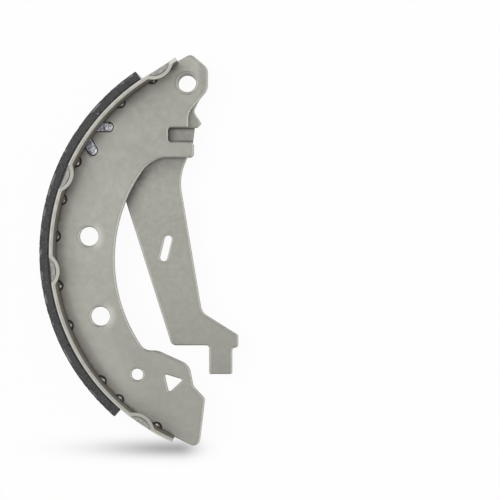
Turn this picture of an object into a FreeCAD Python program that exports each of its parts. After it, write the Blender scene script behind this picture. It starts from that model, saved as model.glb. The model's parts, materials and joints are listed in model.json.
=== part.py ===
import FreeCAD, Part
import math
import os
import re

import Sketcher

# Leading brake shoe of a small drum brake, with its parking lever.
# The drum's axis is Z. The rim's bore is the datum: an inset is a depth inside it.
# The head, the strut slot and the lever are placed from the pivot, and the foot
# from the rim's lower end.
# The web stands half way up the rim, and the lever lies under the web.

# Driving dimensions, in millimetres and degrees.
SIZES = {
    # friction lining and the film that bonds it
    "lining_radius": 101.3,
    "lining_thickness": 4.2,
    "lining_margin": 0.3,
    "lining_start": 123.9,
    "lining_end": 229.1,
    "lining_chamfer": 1.1,
    "bond_thickness": 0.4,
    # rolled rim, straight beyond its bend
    "rim_thickness": 1.7,
    "rim_width": 38.0,
    "rim_bend": 122.4,
    "rim_end": 245.9,
    "tail_length": 16.4,
    # nib pockets pressed into both edges of the rim
    "pocket_depth": 2.9,
    "pocket_chord": 12.0,
    "pocket_blend": 1.2,
    "pocket_angle_1": 118.2,
    "pocket_angle_2": 158.7,
    "pocket_angle_3": 185.1,
    "pocket_angle_4": 235.8,
    # nuggets of weld along both faces of the web
    "nugget_length": 5.2,
    "nugget_reach": 1.9,
    "nugget_rise": 1.7,
    "nugget_angle_1": 121.1,
    "nugget_angle_2": 132.5,
    "nugget_angle_3": 153.4,
    "nugget_angle_4": 164.9,
    "nugget_angle_5": 175.5,
    "nugget_angle_6": 189.6,
    "nugget_angle_7": 201.3,
    "nugget_angle_8": 219.6,
    "nugget_angle_9": 226.9,
    "nugget_angle_10": 240.2,
    # web plate: head round the lever's pivot
    "web_thickness": 4.5,
    "edge_round": 0.5,
    "head_lap": 1.2,
    "foot_lap": 0.7,
    "pivot_lead": 9.92,
    "pivot_inset": 8.56,
    "head_peak_x": 1.85,
    "head_peak_y": 13.8,
    "head_side": 9.85,
    "head_shoulder_y": 7.0,
    "head_hip_y": -3.0,
    "head_peak_round": 3.0,
    "head_shoulder_round": 4.0,
    "head_hip_round": 7.0,
    # web plate: strut slot and the finger below it
    "throat_y": -13.87,
    "throat_round": 8.0,
    "lip_x": 0.6,
    "lip_round": 0.9,
    "strut_slot_x": -9.05,
    "strut_slot_y": -24.37,
    "strut_slot_width": 6.8,
    "strut_slot_round": 1.4,
    "finger_tip_x": 3.25,
    "finger_width": 7.4,
    "finger_round": 1.9,
    # web plate: inner edge, an arc about a centre of its own
    "bay_x": 5.5,
    "bay_y": -3.4,
    "bay_depth": 22.1,
    "bay_top_share": 0.796,
    "bay_foot_round": 6.0,
    # web plate: foot
    "shelf_run": 6.22,
    "shelf_y": 40.12,
    "shelf_round": 8.0,
    "knee_x": 6.79,
    "knee_y": 33.32,
    "knee_round": 7.0,
    "ankle_x": 8.79,
    "ankle_y": 23.12,
    "ankle_round": 3.0,
    "heel_x": 14.29,
    "heel_y": 17.32,
    "heel_round": 2.5,
    "toe_x": 11.44,
    "toe_y": -6.28,
    "toe_round": 3.2,
    # holes in the web
    "upper_hole_angle": 174.67,
    "upper_hole_inset": 15.3,
    "lower_hole_angle": 202.31,
    "lower_hole_inset": 15.05,
    "steady_hole_radius": 4.5,
    "locating_hole_x": -17.79,
    "locating_hole_y": 28.83,
    "locating_hole_radius": 2.8,
    "spring_hole_x": -1.31,
    "spring_hole_y": 25.22,
    "spring_hole_reach": 5.4,
    "spring_hole_turn": 13.0,
    "spring_hole_round": 0.8,
    # plated tabs clinched through slots beside the rim
    "tab_clearance": 0.25,
    "tab_rise": 0.3,
    "tab_foot_margin": 1.2,
    "tab_foot_height": 1.0,
    "tab_round": 0.5,
    "upper_tab_angle": 139.83,
    "upper_tab_inset": 3.39,
    "upper_tab_radius": 2.05,
    "upper_tab_length": 7.0,
    "upper_tab_turn": 180.0,
    "lower_tab_angle": 148.26,
    "lower_tab_inset": 3.75,
    "lower_tab_radius": 2.2,
    "lower_tab_length": 8.0,
    "lower_tab_turn": 122.0,
    # hollow pivot bush and its spring washer
    "bush_bore_radius": 4.3,
    "bush_radius": 5.2,
    "bush_lip_radius": 5.6,
    "bush_lip_height": 0.35,
    "bush_head_radius": 8.0,
    "bush_head_height": 1.6,
    "bush_round": 0.3,
    "running_clearance": 0.05,
    "lever_gap": 0.2,
    "washer_radius": 7.6,
    "washer_thickness": 0.5,
    "washer_dish": 0.4,
    "washer_clearance": 0.15,
    # parking lever: head, tooth and neck
    "lever_thickness": 4.0,
    "lever_head_radius": 8.5,
    "lever_throat_x": 2.85,
    "lever_throat_y": -13.07,
    "lever_throat_round": 3.0,
    "tooth_tip_x": 6.75,
    "tooth_tip_y": -18.77,
    "tooth_heel_x": 4.85,
    "tooth_heel_y": -20.82,
    "tooth_round": 0.8,
    "neck_x": 3.55,
    "neck_lean": 1.0,
    "neck_height": 7.6,
    "waist_x": -3.9,
    "waist_y": -44.57,
    "waist_round": 24.0,
    "seat_depth": 0.5,
    "seat_margin": 5.0,
    # parking lever: blade and cable hook
    "elbow_x": 6.95,
    "elbow_y": -108.57,
    "elbow_round": 6.0,
    "hook_x": 24.2,
    "hook_top_y": -119.37,
    "hook_step_y": -125.22,
    "hook_round": 1.3,
    "hook_tab_x": 15.85,
    "hook_tab_width": 11.0,
    "hook_tab_end_y": -137.77,
    "hook_tab_round": 0.8,
    "hook_tab_root": 1.4,
    "blade_end_x": -7.35,
    "blade_end_y": -124.17,
    "blade_end_round": 3.0,
    "shoulder_x": -31.25,
    "shoulder_y": -49.17,
    "shoulder_round": 6.0,
    "lever_slot_x": -10.2,
    "lever_slot_y": -78.12,
    "lever_slot_width": 3.5,
    "lever_slot_length": 12.5,
    "lever_slot_turn": 76.3,
}

# Sizes and places that follow from the driving ones.
DERIVED = {
    "bond_radius": "lining_radius - lining_thickness",
    "rim_radius": "bond_radius - bond_thickness",
    "rim_bore": "rim_radius - rim_thickness",
    "lining_width": "rim_width - 2 * lining_margin",
    "web_back": "(rim_width - web_thickness) / 2",
    "web_front": "(rim_width + web_thickness) / 2",
    "tail_x": "sin(rim_bend)",
    "tail_y": "-cos(rim_bend)",
    "pocket_radius": "(pocket_chord ^ 2 / 4 + pocket_depth ^ 2) / (2 * pocket_depth)",
    "pivot_angle": "rim_bend - pivot_lead",
    "pivot_x": "(rim_bore - pivot_inset) * cos(pivot_angle)",
    "pivot_y": "(rim_bore - pivot_inset) * sin(pivot_angle)",
    "end_x": "rim_bore * cos(rim_end)",
    "end_y": "rim_bore * sin(rim_end)",
    "bay_radius": "rim_bore - bay_depth",
    "slot_top": "pivot_y + strut_slot_y + strut_slot_width / 2",
    "slot_bottom": "pivot_y + strut_slot_y - strut_slot_width / 2",
    "finger_bottom": "slot_bottom - finger_width",
    "bay_top_x": "bay_x - sqrt(bay_radius ^ 2 - (finger_bottom - bay_y) ^ 2)",
    "bay_top_round": "bay_top_share * (pivot_x + finger_tip_x - bay_top_x)",
    "bay_foot_y": "end_y + shelf_y",
    "bay_foot_x": "bay_x - sqrt(bay_radius ^ 2 - (bay_foot_y - bay_y) ^ 2)",
    "lever_front": "web_back - lever_gap",
    "lever_back": "lever_front - lever_thickness",
    "washer_back": "lever_back - lever_gap - washer_thickness - washer_dish",
    "bush_back": "washer_back - bush_head_height",
}

# How many pockets and nuggets the sizes above place.
POCKETS = 4
NUGGETS = 10
# Two heights, or two places in the plan, count as the same within these lengths.
TOUCH = 0.001
NEAR = 0.01
# Edges of the web stay sharp within this many radii of a seat's centre.
SEAT_REACH = 2

doc = FreeCAD.newDocument("BrakeShoe")


def fill_sheet():
    """Write every driving dimension into a cell that carries its name."""
    sheet = doc.addObject("Spreadsheet::Sheet", "Sizes")
    for row, (name, size) in enumerate(SIZES.items(), start=1):
        sheet.set("A%d" % row, name)
        sheet.set("B%d" % row, str(size))
        sheet.setAlias("B%d" % row, name)
    doc.recompute()
    return sheet


def bind(text):
    """Turn a formula in plain names into one that reads the sheet's cells."""
    def cell(match):
        name = match.group(0)
        if name in DERIVED:
            return "(" + bind(DERIVED[name]) + ")"
        return "Sizes." + name if name in SIZES else name
    return re.sub(r"[a-z]\w*", cell, text)


def value(text):
    """Work out a formula in plain names."""
    return float(sheet.evalExpression(bind(text)))


def tie(thing, name, text):
    """Let a property of a document object follow a formula."""
    thing.setExpression(name, bind(text))


def put(thing, place, height, turn):
    """Let an object's place and its turn about Z follow formulas."""
    thing.Placement.Rotation = FreeCAD.Rotation(FreeCAD.Vector(0, 0, 1), value(turn))
    tie(thing, "Placement.Base.x", place[0])
    tie(thing, "Placement.Base.y", place[1])
    tie(thing, "Placement.Base.z", height)
    tie(thing, "Placement.Rotation.Angle", turn)


def polar(radius, angle):
    """Formulas for a point at a radius and an angle about the drum's axis."""
    return "%s * cos(%s)" % (radius, angle), "%s * sin(%s)" % (radius, angle)


def inside(name):
    """Formulas for a named place inside the rim's bore."""
    return polar("(rim_bore - %s_inset)" % name, name + "_angle")


def from_pivot(along, across):
    """Formulas for a place measured from the lever's pivot."""
    return "pivot_x + " + along, "pivot_y + " + across


def from_end(along, across):
    """Formulas for a place measured from the lower end of the rim's bore."""
    return "end_x + " + along, "end_y + " + across


def shifted(point, along, length, turn):
    """Formulas for a point moved along X or Y of a frame turned by an angle."""
    angle = turn if along == "x" else "%s + 90" % turn
    return ("%s + %s * cos(%s)" % (point[0], length, angle),
            "%s + %s * sin(%s)" % (point[1], length, angle))


def join(kind, name, base, tool):
    """Combine two solids, and merge the faces that run on into each other."""
    result = doc.addObject(kind, name)
    result.Base = base
    result.Tool = tool
    result.Refine = True
    return result


def mirrored(name, source):
    """The same thing on the other side of the rim's middle plane."""
    other = doc.addObject("Part::Mirroring", name)
    other.Source = source
    other.Normal = FreeCAD.Vector(0, 0, 1)
    tie(other, "Base.z", "rim_width / 2")
    return other


def new_body(name):
    """Start a body whose label names its sub-part."""
    body = doc.addObject("PartDesign::Body", name + "_body")
    body.Label = name
    return body


def new_sketch(body, name, height="0", role="XY_Plane"):
    """Attach a sketch to one of the body's own planes, at a height above it."""
    sketch = body.newObject("Sketcher::SketchObject", name)
    planes = [item for item in body.Origin.OriginFeatures if item.Role == role]
    sketch.AttachmentSupport = [(planes[0], "")]
    sketch.MapMode = "FlatFace"
    tie(sketch, "AttachmentOffset.Base.z", height)
    return sketch


def hold(sketch, kind, places, text, label):
    """Add a dimension to a sketch and let it follow a formula."""
    number = sketch.addConstraint(Sketcher.Constraint(kind, *places, value(text)))
    sketch.renameConstraint(number, label)
    tie(sketch, "Constraints." + label, text)


def draw_loop(sketch, corners, arcs=None):
    """Draw a closed loop of lines and arcs through named corners.

    Each arc leaves the corner that it is listed under, with its centre, its radius
    and the side that it turns to.
    """
    arcs = arcs or {}
    names = list(corners)
    points = {name: FreeCAD.Vector(value(x), value(y), 0) for name, (x, y) in corners.items()}
    ends = []
    for name, following in zip(names, names[1:] + names[:1]):
        first, last = points[name], points[following]
        if name not in arcs:
            geometry = sketch.addGeometry(Part.LineSegment(first, last))
            ends.append((geometry, 1, 2))
            continue
        centre_x, centre_y, radius, side = arcs[name]
        centre = FreeCAD.Vector(value(centre_x), value(centre_y), 0)
        turns_left = side == "left"
        start, stop = (first, last) if turns_left else (last, first)
        angles = [math.atan2(p.y - centre.y, p.x - centre.x) for p in (start, stop)]
        circle = Part.Circle(centre, FreeCAD.Vector(0, 0, 1), value(radius))
        geometry = sketch.addGeometry(Part.ArcOfCircle(circle, *angles))
        ends.append((geometry, 1, 2) if turns_left else (geometry, 2, 1))
        hold(sketch, "Radius", (geometry,), radius, name + "_radius")
    for before, after in zip(ends, ends[1:] + ends[:1]):
        sketch.addConstraint(Sketcher.Constraint("Coincident", before[0], before[2], after[0], after[1]))
    for name, (geometry, start, _) in zip(names, ends):
        hold(sketch, "DistanceX", (-1, 1, geometry, start), corners[name][0], name + "_x")
        hold(sketch, "DistanceY", (-1, 1, geometry, start), corners[name][1], name + "_y")


def draw_circle(sketch, centre, radius, label):
    """Draw a circle at a place that follows two formulas."""
    middle = FreeCAD.Vector(value(centre[0]), value(centre[1]), 0)
    circle = Part.Circle(middle, FreeCAD.Vector(0, 0, 1), value(radius))
    geometry = sketch.addGeometry(circle)
    hold(sketch, "Radius", (geometry,), radius, label + "_radius")
    hold(sketch, "DistanceX", (-1, 1, geometry, 3), centre[0], label + "_x")
    hold(sketch, "DistanceY", (-1, 1, geometry, 3), centre[1], label + "_y")


def draw_capsule(sketch, start, length, radius, turn, label):
    """Draw a slot with round ends, from the centre of one end along a direction."""
    stop = shifted(start, "x", length, turn)
    corners = {
        label + "_a": shifted(start, "y", "(-%s)" % radius, turn),
        label + "_b": shifted(stop, "y", "(-%s)" % radius, turn),
        label + "_c": shifted(stop, "y", radius, turn),
        label + "_d": shifted(start, "y", radius, turn),
    }
    points = {name: FreeCAD.Vector(value(x), value(y), 0) for name, (x, y) in corners.items()}
    names = list(corners)
    ends = []
    for name, following, centre in zip(names, names[1:] + names[:1], (None, stop, None, start)):
        if centre is None:
            ends.append(sketch.addGeometry(Part.LineSegment(points[name], points[following])))
            continue
        middle = FreeCAD.Vector(value(centre[0]), value(centre[1]), 0)
        first, last = [math.atan2(p.y - middle.y, p.x - middle.x)
                       for p in (points[name], points[following])]
        circle = Part.Circle(middle, FreeCAD.Vector(0, 0, 1), value(radius))
        ends.append(sketch.addGeometry(Part.ArcOfCircle(circle, first, last)))
    for before, after in zip(ends, ends[1:] + ends[:1]):
        sketch.addConstraint(Sketcher.Constraint("Tangent", before, 2, after, 1))
    for geometry, centre, end in ((ends[1], stop, "stop"), (ends[3], start, "start")):
        hold(sketch, "DistanceX", (-1, 1, geometry, 3), centre[0], label + "_" + end + "_x")
        hold(sketch, "DistanceY", (-1, 1, geometry, 3), centre[1], label + "_" + end + "_y")
    hold(sketch, "Radius", (ends[1],), radius, label + "_radius")


def pad(body, sketch, length):
    """Raise a sketch into a solid."""
    feature = body.newObject("PartDesign::Pad", sketch.Name + "_pad")
    feature.Profile = sketch
    tie(feature, "Length", length)
    doc.recompute()
    return feature


def pocket(body, sketch, depth):
    """Cut a sketch downwards into the body, and see that it cut."""
    before = body.Shape.Volume
    feature = body.newObject("PartDesign::Pocket", sketch.Name + "_pocket")
    feature.Profile = sketch
    tie(feature, "Length", depth)
    doc.recompute()
    if body.Shape.Volume > before - TOUCH:
        raise RuntimeError(sketch.Name + " cuts nothing")
    return feature


def upright_edges(shape, points):
    """Names of the edges that stand upright at the given places."""
    names = []
    for number, edge in enumerate(shape.Edges, start=1):
        ends = [vertex.Point for vertex in edge.Vertexes]
        if len(ends) != 2:
            continue
        rise = ends[1] - ends[0]
        if abs(rise.z) < TOUCH or math.hypot(rise.x, rise.y) > TOUCH:
            continue
        if any(math.hypot(ends[0].x - x, ends[0].y - y) < NEAR for x, y in points):
            names.append("Edge%d" % number)
    return names


def level_edges(shape, height, keep):
    """Names of the edges that lie at a height and that a test keeps."""
    names = []
    for number, edge in enumerate(shape.Edges, start=1):
        box = edge.BoundBox
        if max(abs(box.ZMin - height), abs(box.ZMax - height)) > TOUCH:
            continue
        middle = edge.valueAt((edge.FirstParameter + edge.LastParameter) / 2)
        if keep(middle):
            names.append("Edge%d" % number)
    return names


def dress(body, kind, name, edges, property_name, size):
    """Round or bevel named edges of the body's last feature."""
    base = body.Tip
    feature = body.newObject("PartDesign::" + kind, name)
    feature.Base = (base, edges)
    tie(feature, property_name, size)
    doc.recompute()
    return feature


def round_corners(body, corners, rounds):
    """Round the plan's corners, each with its own named radius."""
    for size, names in rounds.items():
        places = [(value(corners[name][0]), value(corners[name][1])) for name in names]
        edges = upright_edges(body.Shape, places)
        dress(body, "Fillet", body.Label + "_" + size, edges, "Radius", size)


def soften(body, height, name, keep):
    """Take the sharpness off a face's edges, as a press leaves them."""
    edges = level_edges(body.Shape, value(height), keep)
    dress(body, "Fillet", name, edges, "Radius", "edge_round")


def bent_strip(name, inner, outer, start, end, base, width):
    """A strip bent round the drum's axis, between two angles."""
    body = new_body(name)
    sketch = new_sketch(body, name + "_plan", base)
    corners = {
        "outer_start": polar(outer, start),
        "outer_end": polar(outer, end),
        "inner_end": polar(inner, end),
        "inner_start": polar(inner, start),
    }
    arcs = {"outer_start": ("0", "0", outer, "left"), "inner_end": ("0", "0", inner, "right")}
    draw_loop(sketch, corners, arcs)
    pad(body, sketch, width)
    return body, corners


def make_lining():
    """The friction lining, bevelled a little at both ends."""
    body, corners = bent_strip("lining", "bond_radius", "lining_radius",
                               "lining_start", "lining_end", "lining_margin", "lining_width")
    places = [(value(x), value(y)) for x, y in (corners["outer_start"], corners["outer_end"])]
    edges = upright_edges(body.Shape, places)
    dress(body, "Chamfer", "lining_ends", edges, "Size", "lining_chamfer")
    return body


def make_film():
    """The thin black film that bonds the lining to the rim."""
    return bent_strip("adhesive_film", "rim_radius", "bond_radius",
                      "lining_start", "lining_end", "lining_margin", "lining_width")[0]


def tail_point(radius, length):
    """Formulas for a point along the rim's straight end, past its bend."""
    x, y = polar(radius, "rim_bend")
    return "%s + %s * tail_x" % (x, length), "%s + %s * tail_y" % (y, length)


def rim_solid(name, inner):
    """The rim's band, or with no inner face everything inside its outer face."""
    body = new_body(name)
    sketch = new_sketch(body, name + "_plan")
    corners = {
        "tail_outer": tail_point("rim_radius", "tail_length"),
        "bend_outer": polar("rim_radius", "rim_bend"),
        "end_outer": polar("rim_radius", "rim_end"),
    }
    arcs = {"bend_outer": ("0", "0", "rim_radius", "left")}
    if inner:
        corners["end_inner"] = polar("rim_bore", "rim_end")
        corners["bend_inner"] = polar("rim_bore", "rim_bend")
        corners["tail_inner"] = tail_point("rim_bore", "tail_length")
        arcs["end_inner"] = ("0", "0", "rim_bore", "right")
    draw_loop(sketch, corners, arcs)
    pad(body, sketch, "rim_width / 2")
    return body


def pocket_place(number):
    """Formulas for the middle of a nib pocket's sphere, and for the way it faces."""
    angle = "pocket_angle_%d" % number
    lift = "(rim_radius - pocket_depth + pocket_radius)"
    if value(angle) >= value("rim_bend"):
        return polar(lift, angle), angle
    return tail_point(lift, "(rim_radius * tan(rim_bend - %s))" % angle), "rim_bend"


def pocket_spheres(name, radius):
    """One sphere for each nib pocket, along the rim's back edge."""
    spheres = []
    for number in range(1, POCKETS + 1):
        place, facing = pocket_place(number)
        sphere = doc.addObject("Part::Sphere", "%s_%d" % (name, number))
        tie(sphere, "Radius", radius)
        put(sphere, place, "0", facing)
        spheres.append(sphere)
    group = doc.addObject("Part::MultiFuse", name)
    group.Shapes = spheres
    return group


def pocket_edges(shape):
    """Edges round the mouth and the root of each pocket, with their radii."""
    mouth = value("pocket_blend")
    root = mouth + value("rim_thickness") / 2
    picked = []
    for number, edge in enumerate(shape.Edges, start=1):
        box = edge.BoundBox
        if box.ZMin > TOUCH or box.ZMax < TOUCH or box.ZMax > value("rim_width") / 2 - TOUCH:
            continue
        depth = value("rim_radius") - outward_reach(edge.Vertexes[0].Point)
        radius = mouth if depth < value("rim_thickness") / 2 else root
        picked.append((number, radius, radius))
    return picked


def outward_reach(point):
    """A point's distance out from the drum's axis, square to the rim where it is straight."""
    bend = math.radians(value("rim_bend"))
    if math.atan2(point.y, point.x) % (2 * math.pi) < bend:
        return point.x * math.cos(bend) + point.y * math.sin(bend)
    return math.hypot(point.x, point.y)


def make_rim():
    """The rolled rim, with a pocket pressed inwards at each nib of both edges."""
    band = rim_solid("rim_band", inner=True)
    core = rim_solid("rim_core", inner=False)
    backs = pocket_spheres("pocket_backs", "pocket_radius + rim_thickness")
    hollows = pocket_spheres("pocket_hollows", "pocket_radius")
    domes = join("Part::Common", "pocket_domes", core, backs)
    pressed = join("Part::Fuse", "rim_with_domes", band, domes)
    hollowed = join("Part::Cut", "rim_with_pockets", pressed, hollows)
    doc.recompute()
    half = doc.addObject("Part::Fillet", "rim_half")
    half.Base = hollowed
    half.Edges = pocket_edges(hollowed.Shape)
    other = mirrored("rim_other_half", half)
    rim = join("Part::Fuse", "rim_whole", half, other)
    rim.Label = "rim"
    return rim


def web_corners():
    """The web's plan, from the rim's straight end round to its lower end."""
    return {
        "bend": polar("rim_bore", "rim_bend"),
        "tail": tail_point("rim_bore", "tail_length"),
        "tail_lap": tail_point("(rim_bore + head_lap)", "tail_length"),
        "head_peak": from_pivot("head_peak_x", "head_peak_y"),
        "head_shoulder": from_pivot("head_side", "head_shoulder_y"),
        "head_hip": from_pivot("head_side", "head_hip_y"),
        "throat": from_pivot("lip_x", "throat_y"),
        "lip": ("pivot_x + lip_x", "slot_top"),
        "slot_upper": ("pivot_x + strut_slot_x", "slot_top"),
        "slot_lower": ("pivot_x + strut_slot_x", "slot_bottom"),
        "finger_upper": ("pivot_x + finger_tip_x", "slot_bottom"),
        "finger_lower": ("pivot_x + finger_tip_x", "finger_bottom"),
        "bay_top": ("bay_top_x", "finger_bottom"),
        "bay_foot": ("bay_foot_x", "bay_foot_y"),
        "shelf": ("bay_foot_x + shelf_run", "bay_foot_y"),
        "knee": from_end("knee_x", "knee_y"),
        "ankle": from_end("ankle_x", "ankle_y"),
        "heel": from_end("heel_x", "heel_y"),
        "toe": from_end("toe_x", "toe_y"),
        "foot_lap": polar("(rim_bore + foot_lap)", "rim_end"),
        "rim_end": polar("rim_bore", "rim_end"),
    }


WEB_ROUNDS = {
    "head_peak_round": ["head_peak"],
    "head_shoulder_round": ["head_shoulder"],
    "head_hip_round": ["head_hip"],
    "throat_round": ["throat"],
    "lip_round": ["lip"],
    "strut_slot_round": ["slot_upper", "slot_lower"],
    "finger_round": ["finger_upper", "finger_lower"],
    "bay_top_round": ["bay_top"],
    "bay_foot_round": ["bay_foot"],
    "shelf_round": ["shelf"],
    "knee_round": ["knee"],
    "ankle_round": ["ankle"],
    "heel_round": ["heel"],
    "toe_round": ["toe"],
}


def draw_spring_hole(sketch):
    """Draw the three-cornered hole for the return spring."""
    middle = from_end("spring_hole_x", "spring_hole_y")
    corners = {}
    for number in range(3):
        turn = "(spring_hole_turn + %d)" % (120 * number)
        corners["spring_%d" % number] = shifted(middle, "x", "spring_hole_reach", turn)
    draw_loop(sketch, corners)
    return corners


def draw_tab_slot(sketch, side, margin):
    """Draw the plan of a clinched tab, grown by a margin."""
    radius = "(%s_tab_radius + %s)" % (side, margin)
    draw_capsule(sketch, inside(side + "_tab"), side + "_tab_length",
                 radius, side + "_tab_turn", side + "_tab")


def make_web():
    """The web plate, with its holes and its slots."""
    body = new_body("web")
    corners = web_corners()
    plan = new_sketch(body, "web_plan", "web_back")
    arcs = {
        "rim_end": ("0", "0", "rim_bore", "right"),
        "bay_top": ("bay_x", "bay_y", "bay_radius", "left"),
    }
    draw_loop(plan, corners, arcs)
    pad(body, plan, "web_thickness")
    round_corners(body, corners, WEB_ROUNDS)
    holes = new_sketch(body, "web_holes", "web_front")
    draw_circle(holes, ("pivot_x", "pivot_y"), "bush_radius", "pivot")
    draw_circle(holes, inside("upper_hole"), "steady_hole_radius", "upper")
    draw_circle(holes, inside("lower_hole"), "steady_hole_radius", "lower")
    locating = from_end("locating_hole_x", "locating_hole_y")
    draw_circle(holes, locating, "locating_hole_radius", "locating")
    draw_tab_slot(holes, "upper", "tab_clearance")
    draw_tab_slot(holes, "lower", "tab_clearance")
    spring_corners = draw_spring_hole(holes)
    pocket(body, holes, "web_thickness")
    round_corners(body, spring_corners, {"spring_hole_round": list(spring_corners)})
    seats = [(*inside("upper_tab"), "upper_tab_radius"),
             (*inside("lower_tab"), "lower_tab_radius"),
             ("pivot_x", "pivot_y", "bush_radius")]

    def worn(point):
        for x, y, radius in seats:
            if math.hypot(point.x - value(x), point.y - value(y)) < SEAT_REACH * value(radius):
                return False
        return outward_reach(point) < value("rim_bore") - TOUCH

    soften(body, "web_front", "web_front_edges", worn)
    soften(body, "web_back", "web_back_edges", worn)
    return body


def head_tangent(corner, sign):
    """Formulas for where a straight side from a named corner runs on to the lever's head."""
    along = corner + "_x"
    across = corner + "_y"
    bearing = "atan2(%s; %s)" % (across, along)
    spread = "acos(lever_head_radius / hypot(%s; %s))" % (along, across)
    return shifted(("pivot_x", "pivot_y"), "x", "lever_head_radius", "(%s %s %s)" % (bearing, sign, spread))


def lever_corners():
    """The lever's plan, from the left of its head round past the cable hook."""
    tab_right = "hook_tab_x + hook_tab_width / 2"
    tab_left = "hook_tab_x - hook_tab_width / 2"
    return {
        "head_left": head_tangent("shoulder", "-"),
        "head_right": head_tangent("lever_throat", "+"),
        "lever_throat": from_pivot("lever_throat_x", "lever_throat_y"),
        "tooth_tip": from_pivot("tooth_tip_x", "tooth_tip_y"),
        "tooth_heel": from_pivot("tooth_heel_x", "tooth_heel_y"),
        "neck_top": from_pivot("neck_x", "tooth_heel_y"),
        "neck_end": from_pivot("neck_x - neck_lean", "tooth_heel_y - neck_height"),
        "waist": from_pivot("waist_x", "waist_y"),
        "elbow": from_pivot("elbow_x", "elbow_y"),
        "hook_top": from_pivot("hook_x", "hook_top_y"),
        "hook_step": from_pivot("hook_x", "hook_step_y"),
        "tab_root_right": from_pivot(tab_right, "hook_step_y"),
        "tab_end_right": from_pivot(tab_right, "hook_tab_end_y"),
        "tab_end_left": from_pivot(tab_left, "hook_tab_end_y"),
        "tab_root_left": from_pivot(tab_left, "blade_end_y"),
        "blade_end": from_pivot("blade_end_x", "blade_end_y"),
        "shoulder": from_pivot("shoulder_x", "shoulder_y"),
    }


LEVER_ROUNDS = {
    "lever_throat_round": ["lever_throat"],
    "tooth_round": ["tooth_tip", "tooth_heel"],
    "waist_round": ["waist"],
    "elbow_round": ["elbow"],
    "hook_round": ["hook_top", "hook_step"],
    "hook_tab_round": ["tab_end_right", "tab_end_left"],
    "hook_tab_root": ["tab_root_right", "tab_root_left"],
    "blade_end_round": ["blade_end"],
    "shoulder_round": ["shoulder"],
}


def make_lever():
    """The parking lever: one pressed plate that swings on the bush."""
    body = new_body("parking_lever")
    corners = lever_corners()
    plan = new_sketch(body, "lever_plan", "lever_back")
    draw_loop(plan, corners, {"head_left": ("pivot_x", "pivot_y", "lever_head_radius", "right")})
    pad(body, plan, "lever_thickness")
    round_corners(body, corners, LEVER_ROUNDS)
    soften(body, "lever_front", "lever_front_edges", lambda point: True)
    soften(body, "lever_back", "lever_back_edges", lambda point: True)
    holes = new_sketch(body, "lever_holes", "lever_front")
    draw_circle(holes, ("pivot_x", "pivot_y"), "bush_radius + running_clearance", "pivot")
    start = shifted(from_pivot("lever_slot_x", "lever_slot_y"), "x",
                    "((lever_slot_width - lever_slot_length) / 2)", "lever_slot_turn")
    draw_capsule(holes, start, "(lever_slot_length - lever_slot_width)",
                 "(lever_slot_width / 2)", "lever_slot_turn", "slot")
    pocket(body, holes, "lever_thickness")
    seat = new_sketch(body, "lever_seat", "lever_front")
    left = "pivot_x + strut_slot_x - seat_margin"
    right = "pivot_x + finger_tip_x + seat_margin"
    draw_loop(seat, {
        "seat_upper_left": (left, "slot_top"),
        "seat_lower_left": (left, "slot_bottom - finger_width / 2"),
        "seat_lower_right": (right, "slot_bottom - finger_width / 2"),
        "seat_upper_right": (right, "slot_top"),
    })
    pocket(body, seat, "seat_depth")
    return body


def turned_part(name, corners):
    """A ring turned about the pivot, from its section of radius and height."""
    body = new_body(name)
    sketch = new_sketch(body, name + "_section", "-pivot_y", "XZ_Plane")
    tie(sketch, "AttachmentOffset.Base.x", "pivot_x")
    draw_loop(sketch, corners)
    turning = body.newObject("PartDesign::Revolution", name + "_turning")
    turning.Profile = sketch
    turning.ReferenceAxis = (sketch, ["V_Axis"])
    turning.Angle = 360
    doc.recompute()
    return body


def make_bush():
    """The hollow pivot bush: a head behind the lever and a swaged lip in front."""
    body = turned_part("pivot_bush", {
        "head_bore": ("bush_bore_radius", "bush_back"),
        "head_rim": ("bush_head_radius", "bush_back"),
        "head_face": ("bush_head_radius", "bush_back + bush_head_height"),
        "shank_root": ("bush_radius", "bush_back + bush_head_height"),
        "shank_end": ("bush_radius", "web_front"),
        "lip_base": ("bush_lip_radius", "web_front"),
        "lip_top": ("bush_lip_radius", "web_front + bush_lip_height"),
        "lip_bore": ("bush_bore_radius", "web_front + bush_lip_height"),
    })
    for name, height in (("front", "web_front + bush_lip_height"), ("back", "bush_back")):
        edges = level_edges(body.Shape, value(height), lambda point: True)
        dress(body, "Fillet", "bush_%s_edges" % name, edges, "Radius", "bush_round")
    return body


def make_washer():
    """The dished washer that takes up the lever's play."""
    inner = "(bush_radius + washer_clearance)"
    return turned_part("spring_washer", {
        "inner_back": (inner, "washer_back + washer_dish"),
        "outer_back": ("washer_radius", "washer_back"),
        "outer_front": ("washer_radius", "washer_back + washer_thickness"),
        "inner_front": (inner, "washer_back + washer_dish + washer_thickness"),
    })


def make_tab(side):
    """A plated tab clinched through its slot, with a plain foot behind the web."""
    body = new_body(side + "_tab")
    foot = new_sketch(body, side + "_foot_plan", "web_back - tab_foot_height")
    draw_tab_slot(foot, side, "tab_foot_margin")
    pad(body, foot, "tab_foot_height")
    shank = new_sketch(body, side + "_shank_plan", "web_back")
    draw_tab_slot(shank, side, "0")
    pad(body, shank, "web_thickness + tab_rise")
    top = value("web_front + tab_rise")
    edges = level_edges(body.Shape, top, lambda point: True)
    dress(body, "Fillet", side + "_tab_edges", edges, "Radius", "tab_round")
    body.Label = side + "_tab_blank"
    bore = doc.addObject("Part::Cylinder", side + "_tab_bore")
    tie(bore, "Radius", "rim_bore")
    tie(bore, "Height", "rim_width")
    tab = join("Part::Common", side + "_tab_trimmed", body, bore)
    tab.Label = side + "_tab"
    return tab


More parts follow.
